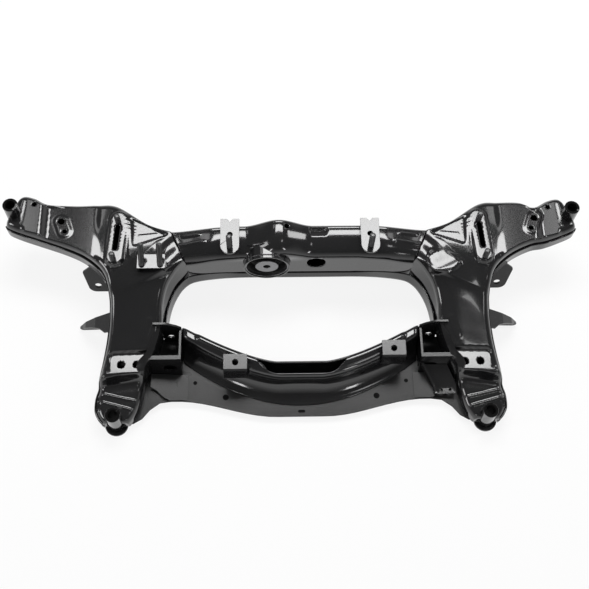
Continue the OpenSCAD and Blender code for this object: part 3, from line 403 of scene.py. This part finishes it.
skin_group.links.new(patchy.outputs[0], dusty.inputs["Fac"])
skin_group.links.new(g_in.outputs["Colour"], dusty.inputs["Color1"])
skin_group.links.new(dusty.outputs[0], g_out.inputs["Colour"])
haze = node(skin_group, "Math", operation="MULTIPLY_ADD")
haze.inputs[1].default_value = 0.5
skin_group.links.new(patchy.outputs[0], haze.inputs[0])
skin_group.links.new(g_in.outputs["Base Roughness"], haze.inputs[2])
skin_group.links.new(haze.outputs[0], g_out.inputs["Roughness"])
grains = node(skin_group, "Math", operation="MULTIPLY_ADD")
grains.inputs[1].default_value = 0.25
skin_group.links.new(speck.outputs["Fac"], grains.inputs[0])
skin_group.links.new(peel.outputs["Fac"], grains.inputs[2])
skin_group.links.new(grains.outputs[0], g_out.inputs["Height"])


def painted(name, colour, dust, rough, coat, bump, shine=0.5):
    """A painted finish: the shared paint skin gives colour, roughness and height over the surface,
    and the coat, the bump's strength and the shine are plain values."""
    finish = bpy.data.materials.new(name)
    finish.use_nodes = True
    tree = finish.node_tree
    shader = tree.nodes["Principled BSDF"]
    skin = tree.nodes.new("ShaderNodeGroup")
    skin.node_tree = skin_group
    skin.inputs["Colour"].default_value = (*colour, 1)
    skin.inputs["Dust"].default_value = dust
    skin.inputs["Base Roughness"].default_value = rough
    dent = node(tree, "Bump", Strength=bump, Distance=0.0004)
    shader.inputs["Coat Weight"].default_value = coat
    shader.inputs["Specular IOR Level"].default_value = shine
    shader.inputs["Coat Roughness"].default_value = 0.03
    tree.links.new(skin.outputs["Colour"], shader.inputs["Base Color"])
    tree.links.new(skin.outputs["Roughness"], shader.inputs["Roughness"])
    tree.links.new(skin.outputs["Height"], dent.inputs["Height"])
    tree.links.new(dent.outputs[0], shader.inputs["Normal"])
    return finish


gloss_black = painted("gloss_black_dip", (0.008, 0.008, 0.0085), 0.05, 0.12, 0.5, 0.05)
long_pad, arm_pad = ((364.0, 342.5), 4.0), ((473.0, 372.0), -20.0)
front_mounts = {"left": (571.0, 398.0), "right": (544.0, 383.0)}
rear_mount = (364.0, 0.0)
side_counts = (13, 9, 49, 15)
collar_hole = 15.2
long_pad_z, arm_pad_z, recess_z, rear_pad_z, teardrop_z = 144.0, 139.0, 136.5, 77.0, 138.0
arm_z, tip_rise, tip_run = 138, 12, 14
recess = [(262, 350), (332, 325), (334, 388)]
rear_pad = [(296, 80), (374, 78), (374, 122), (292, 124)]
teardrop = [(253, 300), (254, 276), (266, 265), (306, 267), (322, 285), (306, 303), (266, 312)]
joint_corner, joint_cos, joint_sin = (229, 291), 0.926, 0.379
# The drawing wrinkles at the knee: their rise, the middle and half width of their band past the joint
# line, and where the band starts and ends along that line
wave_rise, band_at, band_half, band_start, band_end = 1.8, 16, 34, -4, 72
inner_flat, step_back, step_from, step_end = 21.0, 68, 396, 14
side_ridges = [
    ((387, 48), (320, 33), 1.2, 4.0, 2.2), ((392, 33), (329, 16), 1.2, 4.0, 2.2),
    ((297, 180), (309, 148), 7.0, 4.0, 0.8),
    ((338, 304), (341, 384), 1.2, 3.5, 2.0), ((320, 349), (284, 353), 0.8, 5.0, 0.7)]
# Each round hole in the arm pad and the rail: its middle and radius
side_holes = [((476.76, 382.34), 7.0), ((468.55, 359.78), 5.0), ((351.0, 98), 7.5), ((321.0, 98), 7.5)]
for side, (cx, cy) in front_mounts.items():
    st = side_stations(cx, cy)
    grid = channel(st, shoulder, seam_height(st), st[:, 6:7] + tray_gap, inner_flat, side_counts)
    p = grid[..., :2]
    top = np.zeros(grid.shape[1])
    top[side_counts[0] + 2:side_counts[0] + side_counts[1] + side_counts[2]] = 1
    flats = [
        (bar_mask(p, *turned_ends(*long_pad, 42), 18, 4.0), long_pad_z),
        (bar_mask(p, *turned_ends(*arm_pad, 12.5), 13.5, 5.0), arm_pad_z),
        (field_mask(p, recess, 6, 3.5), recess_z),
        (field_mask(p, rear_pad, 10, 7.0), rear_pad_z)]
    if side == "right":
        ripple = 0.5 * np.sin((p[..., 1] - 0.5 * p[..., 0]) / 6.0)
        flats.append((field_mask(p, teardrop, 6, 7.0), teardrop_z + ripple))
    far = p[..., 0] - (cx - step_back)
    stepped = smooth((p[..., 0] - step_from) / 16) * smooth((cx - step_end - p[..., 0]) / 12)
    grid[..., 2] += (arm_z + tip_rise * smooth(far / tip_run) - grid[..., 2]) * stepped * top
    for mask, height in flats:
        grid[..., 2] += (height - grid[..., 2]) * mask * top
    press_ridges(grid, p, top, side_ridges)
    from_joint = p - np.array(joint_corner)
    past = from_joint[..., 0] * joint_cos - from_joint[..., 1] * joint_sin
    along = from_joint[..., 0] * joint_sin + from_joint[..., 1] * joint_cos
    drawn = smooth(1 - np.abs(past - band_at) / band_half)
    drawn *= smooth((band_end - along) / 16)
    drawn *= smooth((along - band_start) / 10)
    grid[..., 2] += wave_rise * np.sin(along / 7.0 + past / 14 + 1.0) * drawn * top
    grid = closed_end(grid, first=True, low=112.0, roll=8.0)
    grid = closed_end(grid, first=False, low=18.0, roll=6.0)
    keep = np.ones((grid.shape[0] - 1, grid.shape[1] - 1), bool)
    punch(grid, keep, *turned_ends(*long_pad, 24), 5.0)
    tip_hole = ((cx - 40, cy + 18), 5.0)
    for spot, radius in (*side_holes, tip_hole, ((cx, cy), collar_hole), (rear_mount, collar_hole)):
        punch(grid, keep, spot, spot, radius)
    if side == "left":
        grid[..., 0] *= -1
    mesh = sheet_mesh(side + "_side_pressing", grid, keep, flip=side == "right")
    fit_piece(side + "_side_pressing", mesh, gloss_black, "paint", side + "_side_upper", thick=sheet)

# Lower side pressings
# Trays of the same sheet close the side members from below. Their outer lips lap up the walls of the
# upper pressings, where a weld runs, and their inner flanges stand into the ring opening.
lip, lap, tray_bend = -tray_gap, 9, 8.0
for side, (cx, cy) in front_mounts.items():
    st = side_stations(cx, cy)
    w = np.linalg.norm(st[:, 2:4] - st[:, 0:2], axis=1)[:, None]
    low = st[:, 6:7]
    split = seam_height(st)
    down = np.linspace(0, 1, 9)[None, :-1]
    bend = np.radians(np.linspace(0, 90, 8))[None, :]
    over = np.linspace(0, 1, 40)[None, 1:]
    q = np.concatenate([lip + 0 * down + 0 * w, lip + tray_bend - tray_bend * np.cos(bend) + 0 * w,
                        lip + tray_bend + (w + st[:, 8:9] - lip - tray_bend) * over], 1)
    z = np.concatenate([split + lap + (low + tray_bend - split - lap) * down,
                        low + tray_bend - tray_bend * np.sin(bend), low + 0 * over], 1)
    grid = across(st, q, z)
    keep = np.ones((grid.shape[0] - 1, grid.shape[1] - 1), bool)
    punch(grid, keep, (cx, cy), (cx, cy), collar_hole)
    punch(grid, keep, rear_mount, rear_mount, collar_hole)
    if side == "left":
        grid[..., 0] *= -1
    mesh = sheet_mesh(side + "_side_tray", grid, keep, flip=side == "left")
    fit_piece(side + "_side_tray", mesh, gloss_black, "paint", side + "_side_lower", thick=sheet)

# Front crossmember
# One pressing bridges the two knees: an inverted channel with a hump over the bush, beads pressed
# into its ends and a large hole in its rear wall. It is welded to the knees, and a plate closes it.
cross_counts = (21, 16, 17, 17)
cross_bend, rear_bend, cross_flat, cross_low = 11.0, 28.0, 2.0, 64
half_span, joint_from, bow_from = 229, 162.5, 113.5
cross_z, joint_z = 158, 145
hump_x, hump_half, hump_rise = -42, 70, 26
bush_x, bush_z, bush_hole = -66, 119, 46.2


def cross_rows(u):
    """Stations of the crossmember from the left joint to the right one: plan curves eased from the
    straight middle out to the slanted joint lines, and a hump that rises as an eased bell."""
    a = np.abs(u)
    end = smooth((half_span * a - joint_from) / (half_span - joint_from))
    near = smooth((half_span * a - bow_from) / (half_span - bow_from))
    xo = u * (half_span - 0.2 * a)
    xi = xo + np.sign(u) * 27 * end
    z = cross_z + (joint_z - cross_z) * end
    rear_hump, front_hump = (hump_rise * smooth(1 - np.abs((x - hump_x) / hump_half)) for x in (xo, xi))
    flat = np.zeros_like(u)
    return np.stack([xo, 320 + (291 - 320) * near, xi, 362 + (357 - 362) * near, z + rear_hump, z + front_hump,
                     flat + cross_low, flat + cross_bend, flat], 1)


st = cross_rows(np.linspace(-1, 1, 241))
grid = channel(st, rear_bend, st[:, 6:7] + sheet, st[:, 6:7] + sheet, cross_flat, cross_counts)
most_back, back_from = 22, 120
set_back = most_back * (1 - smooth((np.abs(st[:, :1]) - back_from) / (half_span - back_from)))
wall_end = cross_counts[0] - 1
bend_end = wall_end + cross_counts[1]
widened = np.zeros(grid.shape[1])
widened[:wall_end] = 1
widened[wall_end:bend_end] = np.cos(np.radians(np.linspace(0, 90, cross_counts[1])))
grid[..., 1] -= set_back * widened
bulge, bulge_half = 6, 100
over_bush = smooth(1 - np.abs(st[:, :1] - bush_x) / bulge_half) * smooth((grid[..., 2] - 120) / 30)
grid[..., 1] -= bulge * over_bush * smooth((350 - grid[..., 1]) / 30)
p = grid[..., :2]
top = np.zeros(grid.shape[1])
top[wall_end + 4:bend_end + 1 + cross_counts[2]] = 1
middle_y = (st[:, 1] + st[:, 3])[:, None] / 2
half_y = (st[:, 3] - st[:, 1])[:, None] / 2
front_fall = 2.0
grid[..., 2] -= front_fall * np.clip((grid[..., 1] - middle_y) / half_y, 0, 1) ** 2 * top
press_ridges(grid, p, top, [((28, 348), (47, 348), 8.0, 6.0, -5.0)])
for s in (-1, 1):
    press_ridges(grid, p, top, [((s * 238, 322), (s * 190, 326), 2.5, 5.0, 2.6),
                                ((s * 232, 342), (s * 200, 343), 2.5, 5.0, 1.8)])
keep = np.ones((grid.shape[0] - 1, grid.shape[1] - 1), bool)
rear_wall = np.zeros_like(keep)
rear_wall[:, :wall_end] = True
for spot, radius in (((bush_x, bush_z), bush_hole), ((33, 112.9), 19.0)):
    punch(grid, keep, spot, spot, radius, plane=(0, 2), only=rear_wall)
top_hole = (-26, 345.2)
punch(grid, keep, top_hole, top_hole, 5.5)
mesh = sheet_mesh("front_cross_pressing", grid, keep)
fit_piece("front_cross_pressing", mesh, gloss_black, "paint", "front_cross_upper", thick=sheet)

# Swept strip of the ring opening
# The lower pressings' turned-down edge runs along the crossmember's foot and sweeps round into both
# rails. It is shown as a thin strip of its own over the walls, where the long seam weld runs.
strip_sheet = 1.5
# Each row: the strip's upper edge and its lower edge, from the middle round to the right rail
strip_rows = np.array([
    [0, 296.5, 72, 0, 293, 58], [60, 296.5, 72, 60, 293, 58], [113, 296.5, 72, 113, 293, 58],
    [150, 294.5, 78, 150, 292, 57], [172, 292.7, 80, 172, 290.5, 56], [192, 291.2, 80, 192, 288, 56],
    [211, 288.5, 80, 210, 284.5, 56], [226, 283.5, 80, 223.5, 279, 56], [239, 271, 80, 236, 267.5, 56],
    [249, 257, 79, 244.5, 255, 55], [256, 241, 78, 251.5, 241, 54], [261, 226, 77, 256.5, 227, 53],
    [264, 212, 76, 260, 213.5, 52], [266, 196, 75, 262.5, 198, 51], [267, 182, 74, 264, 184, 50]], float)
mirrored = strip_rows[:0:-1] * np.array([-1, 1, 1, -1, 1, 1])
bent = row_curve(np.concatenate([mirrored, strip_rows]), 0, 2 * len(strip_rows) - 2)


def ruled(edges, steps):
    """Straight lines between two edges: a + (b - a) t for each row's points a and b, t from 0 to 1."""
    a, b = edges[:, None, 0:3], edges[:, None, 3:6]
    return a + (b - a) * np.linspace(0, 1, steps)[None, :, None]


mesh = sheet_mesh("ring_strip", ruled(bent, 9), flip=True)
fit_piece("ring_strip", mesh, gloss_black, "paint", thick=strip_sheet)

# Rear crossmember
# A concave quarter-round wall stands on a wide shelf plate and carries a top pressing that is cut open
# in a dip in its middle. All three are welded sheet and bow forward to the link pockets at both ends.
beam_half = 235
beam_x = np.linspace(-beam_half, beam_half, 189)
cove_turn, cove_z, seam_z = np.radians(85), 18, 64


def bowed(middle, ahead, start, power):
    """A plan edge of the beam: y = middle + ahead t^power, with t from 0 at start to 1 at the ends."""
    return middle + ahead * np.clip((np.abs(beam_x) - start) / (beam_half - start), 0, 1) ** power


def cove_wall(foot, seam):
    """The concave wall: for t from 0 to cove_turn, y goes from foot to seam as sin t, and z from cove_z
    to seam_z as 1 - cos t."""
    t = np.linspace(0, cove_turn, 29)[None, :]
    y = foot[:, None] + (seam - foot)[:, None] * np.sin(t) / np.sin(cove_turn)
    z = cove_z + (seam_z - cove_z) * (1 - np.cos(t)) / (1 - np.cos(cove_turn)) + 0 * y
    return np.stack([beam_x[:, None] + 0 * y, y, z], -1)


beam_front = bowed(101, 78.02, 48, 1.4)
seam_at = bowed(70, 83.9, 40, 1.5)
mesh = sheet_mesh("rear_cove_wall", cove_wall(bowed(32, 91.9, 0, 2), seam_at))
fit_piece("rear_cove_wall", mesh, gloss_black, "paint", "rear_cross_cove", thick=sheet)
flat = np.zeros_like(beam_x)
end_roll, roll_from = 14, 223
rear_top, front_top, beam_bend, beam_floor, beam_flat = 81, 86, 9, 15, 2.0
beam_counts = (7, 7, 21, 25)
end_run = np.clip(np.abs(beam_x) - roll_from, 0, beam_half - roll_from)
end_drop = end_roll - np.sqrt(end_roll ** 2 - end_run ** 2)
end_level = (front_top - rear_top) * smooth((np.abs(beam_x) - 198) / 12)
st = np.stack([beam_x, seam_at, beam_x, beam_front, rear_top - end_drop, front_top - end_level - end_drop,
               flat + beam_floor, flat + beam_bend, flat], 1)
wall_low, front_low = seam_z + 0 * flat[:, None], beam_floor + 0 * flat[:, None]
grid = channel(st, beam_bend, wall_low, front_low, beam_flat, beam_counts)
dip_y, dip_z, dip_half, dip_rim = 75, 68, 93, 5
far_edge = (beam_front - dip_rim)[:, None]
near_edge = dip_y + (far_edge - dip_y) * smooth((np.abs(beam_x) - 50) / 48)[:, None]
quad_y = (grid[:-1, :-1, 1] + grid[1:, :-1, 1] + grid[1:, 1:, 1] + grid[:-1, 1:, 1]) / 4
quad_z = (grid[:-1, :-1, 2] + grid[1:, 1:, 2]) / 2
in_dip = (np.abs(beam_x[:-1]) < dip_half)[:, None] & (quad_z > dip_z)
keep = ~((quad_y > near_edge[:-1]) & (quad_y < far_edge[:-1]) & in_dip)
rim = corners(keep) & corners(~keep)
to_near = np.abs(grid[..., 1] - near_edge) < np.abs(grid[..., 1] - far_edge)
grid[..., 1] = np.where(rim, np.where(to_near, near_edge, far_edge), grid[..., 1])
mesh = sheet_mesh("rear_top_pressing", grid, keep)
fit_piece("rear_top_pressing", mesh, gloss_black, "paint", "rear_cross_top", thick=sheet)


def rounded(node_name, width, finish, slot, segments=3, angle=38.0):
    """A copy of a CAD solid with its doubled corners merged, its flat faces made whole and its sharp
    edges rounded to a width in millimetres, as bent and dipped sheet has them."""
    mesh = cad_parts[node_name].data.copy()
    mesh.materials.clear()
    work = bmesh.new()
    work.from_mesh(mesh)
    bmesh.ops.remove_doubles(work, verts=work.verts, dist=2e-6)
    bmesh.ops.dissolve_limit(work, angle_limit=np.radians(0.6), verts=work.verts, edges=work.edges)
    work.to_mesh(mesh)
    work.free()
    mesh.shade_smooth()
    made = fit_piece("rounded_" + node_name, mesh, finish, slot, node_name)
    edge = made.modifiers.new("edges", "BEVEL")
    edge.width = width * MM
    edge.segments = segments
    edge.limit_method = "ANGLE"
    edge.angle_limit = np.radians(angle)
    edge.use_clamp_overlap = True
    made.modifiers.new("shading", "WEIGHTED_NORMAL").keep_sharp = True
    return made


def face_middles(mesh):
    """The middle of every face, in metres."""
    flat_list = np.empty(len(mesh.polygons) * 3)
    mesh.polygons.foreach_get("center", flat_list)
    return flat_list.reshape(-1, 3)


def second_finish(mesh, finish, chosen):
    """Gives the chosen faces another finish."""
    mesh.materials.append(finish)
    mesh.polygons.foreach_set("material_index", chosen.astype(np.int32))


seat_z, seat_reach = 13.5, 0.1
shelf_black = painted("dusty_black_dip", (0.007, 0.007, 0.0072), 0.2, 0.24, 0.0, 0.3, shine=0.2)
# A near-black, matt, barely shiny finish that paints shade: it darkens the collars' bores and the shelf's bolt
# seats, which lie in shadow.
painted_shade_black = painted("painted_shade_bore", (0.003, 0.003, 0.003), 0.0, 0.75, 0.0, 0.1, shine=0.1)
shelf = rounded("rear_cross_shelf", 0.8, shelf_black, "paint").data
# The floors of the shelf's bolt seats, at the seat height, get the painted shade finish so they read dark.
second_finish(shelf, painted_shade_black, np.abs(face_middles(shelf)[:, 2] - seat_z * MM) < seat_reach * MM)
rounded("front_cross_lower", 0.8, gloss_black, "paint")

# Body-mount collars
# Four turned steel tubes carry the part on the vehicle body. The front ones are welded through the
# arms' tips, and the rear ones stand on washers in the feet. All are dipped with the rest.
bore_reach = 11
for which in ("front_left", "front_right", "rear_left", "rear_right"):
    collar = rounded(which + "_collar", 1.2, gloss_black, "paint").data
    middles = face_middles(collar)
    axis = (middles.min(0) + middles.max(0)) / 2
    # Faces within the bore's reach of each collar's axis get the painted shade finish, so the bores read dark.
    second_finish(collar, painted_shade_black, np.linalg.norm(middles[:, :2] - axis[:2], axis=1) < bore_reach * MM)
for which in ("rear_left", "rear_right"):
    rounded(which + "_washer", 1.6, gloss_black, "paint")

# Differential bush
# A short tube welded into the crossmember's rear wall holds a rubber bush: a bare steel sleeve, the
# moulded rubber with its groove, and a flanged steel core with the bolt's bore.


def mottled(name, scale, detail, dark, light):
    """A finish whose colour wanders from a dark to a light tone with a noise over the surface; gives the
    finish, its shader and the noise."""
    finish = bpy.data.materials.new(name)
    finish.use_nodes = True
    tree = finish.node_tree
    shader = tree.nodes["Principled BSDF"]
    spot = node(tree, "TexCoord")
    noise = node(tree, "TexNoise", Scale=scale, Detail=detail)
    tones = node(tree, "ValToRGB")
    tones.color_ramp.elements[0].color = dark
    tones.color_ramp.elements[1].color = light
    tree.links.new(spot.outputs["Object"], noise.inputs["Vector"])
    tree.links.new(noise.outputs["Fac"], tones.inputs[0])
    tree.links.new(tones.outputs[0], shader.inputs["Base Color"])
    return finish, shader, noise


bare, shader, turned = mottled("bare_turned_steel", 160.0, 5.0, (0.16, 0.16, 0.165, 1), (0.34, 0.34, 0.35, 1))
shader.inputs["Metallic"].default_value = 1.0
worn = node(bare.node_tree, "MapRange")
worn.inputs["To Min"].default_value, worn.inputs["To Max"].default_value = 0.3, 0.5
bare.node_tree.links.new(turned.outputs["Fac"], worn.inputs["Value"])
bare.node_tree.links.new(worn.outputs["Result"], shader.inputs["Roughness"])
bush_black, shader, _ = mottled("moulded_rubber", 90.0, 6.0, (0.008, 0.008, 0.008, 1), (0.024, 0.024, 0.024, 1))
shader.inputs["Roughness"].default_value = 0.55
rounded("bush_housing", 0.8, gloss_black, "paint")
rounded("bush_sleeve", 0.6, bare, "bare_steel")
rounded("bush_rubber", 1.0, bush_black, "rubber")
rounded("bush_core", 1.0, bare, "bare_steel")

# Stabiliser brackets and studs
# Two bent plates stand across the crossmember for the stabiliser bar's clamps. Each has a bolt hole
# and a stud welded behind it; more studs stand on the long pads.
bracket_black = painted("bracket_black_dip", (0.012, 0.012, 0.0125), 0.08, 0.1, 0.45, 0.08)
stud_black = painted("stud_black", (0.02, 0.02, 0.021), 0.1, 0.25, 0.1, 0.05)
for side in ("left", "right"):
    rounded(side + "_stabiliser_bracket", 1.4, bracket_black, "bracket_paint")


def thread(foot, way, length, d):
    """A threaded stud: turned about its axis, its radius falls by a triangle wave of the height less
    the pitch for each turn, and it runs out to a plain foot and a bevelled tip."""
    pitch, depth, step = 1.25, 0.55, 0.26
    plain_foot, plain_tip, bevel, bevel_run = 5, 1.5, 1.4, 2.0
    u = np.linspace(0, 2 * np.pi, 25)
    h = np.linspace(0, length, int(length / step))[:, None]
    wave = np.abs(((h / pitch - u[None, :] / (2 * np.pi)) % 1) * 2 - 1)
    cut = smooth((h - plain_foot) / 2) * smooth((length - plain_tip - h) / 1.0)
    r = d / 2 - depth * wave * cut - bevel * smooth((h - length + bevel_run) / bevel_run)
    way = np.array(way, float) / np.linalg.norm(way)
    e1 = np.cross(way, [1.0, 0, 0])
    e1 /= np.linalg.norm(e1)
    e2 = np.cross(way, e1)
    foot = np.array(foot, float)
    body = foot + way * h[..., None] + r[..., None] * (np.cos(u)[:, None] * e1 + np.sin(u)[:, None] * e2)
    tip = foot + way * length
    cap = tip + (body[-1] - tip) * np.array([0.5, 0.0])[:, None, None]
    return np.concatenate([body, cap])


def stud_piece(name, spots, nodes):
    """One piece of several studs, each given by foot, direction, length and diameter."""
    meshes = [sheet_mesh(name, thread(*s), flip=True) for s in spots]
    work = bmesh.new()
    for mesh in meshes:
        work.from_mesh(mesh)
    bmesh.ops.remove_doubles(work, verts=work.verts, dist=1e-6)
    work.to_mesh(meshes[0])
    work.free()
    meshes[0].shade_smooth()
    return fit_piece(name, meshes[0], stud_black, "stud", *nodes)


stud_d, upright = 12, (0, 0, 1)
pad_way = turned_ends((0, 0), long_pad[1], 1.0)[1]
pad_studs = pad_way * np.array([[-50.0], [34.0]]) + long_pad[0]
for s, side in ((-1, "left"), (1, "right")):
    stud_piece(side + "_stabiliser_thread", [((s * 138, 303.5, 174), upright, 44, stud_d)],
               [side + "_stabiliser_stud"])
    stud_piece(side + "_pad_threads", [((s * x, y, long_pad_z), upright, 27, stud_d) for x, y in pad_studs],
               [side + "_pad_studs"])

# Link ears, link pockets and brackets
# Pressed 4 mm ears welded outside the rails take the front links, and open boxes welded between rail
# and rear beam take the lower links. Caps over the rear beam's seam take the differential's bolts.
pocket_black = painted("pocket_black_dip", (0.008, 0.008, 0.0085), 0.08, 0.2, 0.0, 0.15, shine=0.32)
speckled_black = painted("speckled_black_dip", (0.01, 0.01, 0.0105), 0.12, 0.22, 0.1, 0.3, shine=0.4)
for side in ("left", "right"):
    rounded(side + "_link_front_ear", 1.0, pocket_black, "bracket_paint")
    rounded(side + "_link_rear_ear", 1.4, pocket_black, "bracket_paint")
    rounded(side + "_lower_link_bracket", 1.2, pocket_black, "bracket_paint")
    rounded(side + "_differential_bracket", 2.2, speckled_black, "bracket_paint")
    rounded(side + "_differential_nut", 0.6, stud_black, "stud")
rounded("hanger_bracket", 1.4, gloss_black, "bracket_paint")
rounded("cable_bracket", 1.4, bracket_black, "bracket_paint")
lean, cable_x, cable_half = np.radians(38), -293, 18
cable_way = (0, np.sin(lean), np.cos(lean))
stud_piece("cable_threads", [((cable_x + s * cable_half, 279, 148), cable_way, 46, stud_d) for s in (-1, 1)],
           ["cable_studs"])
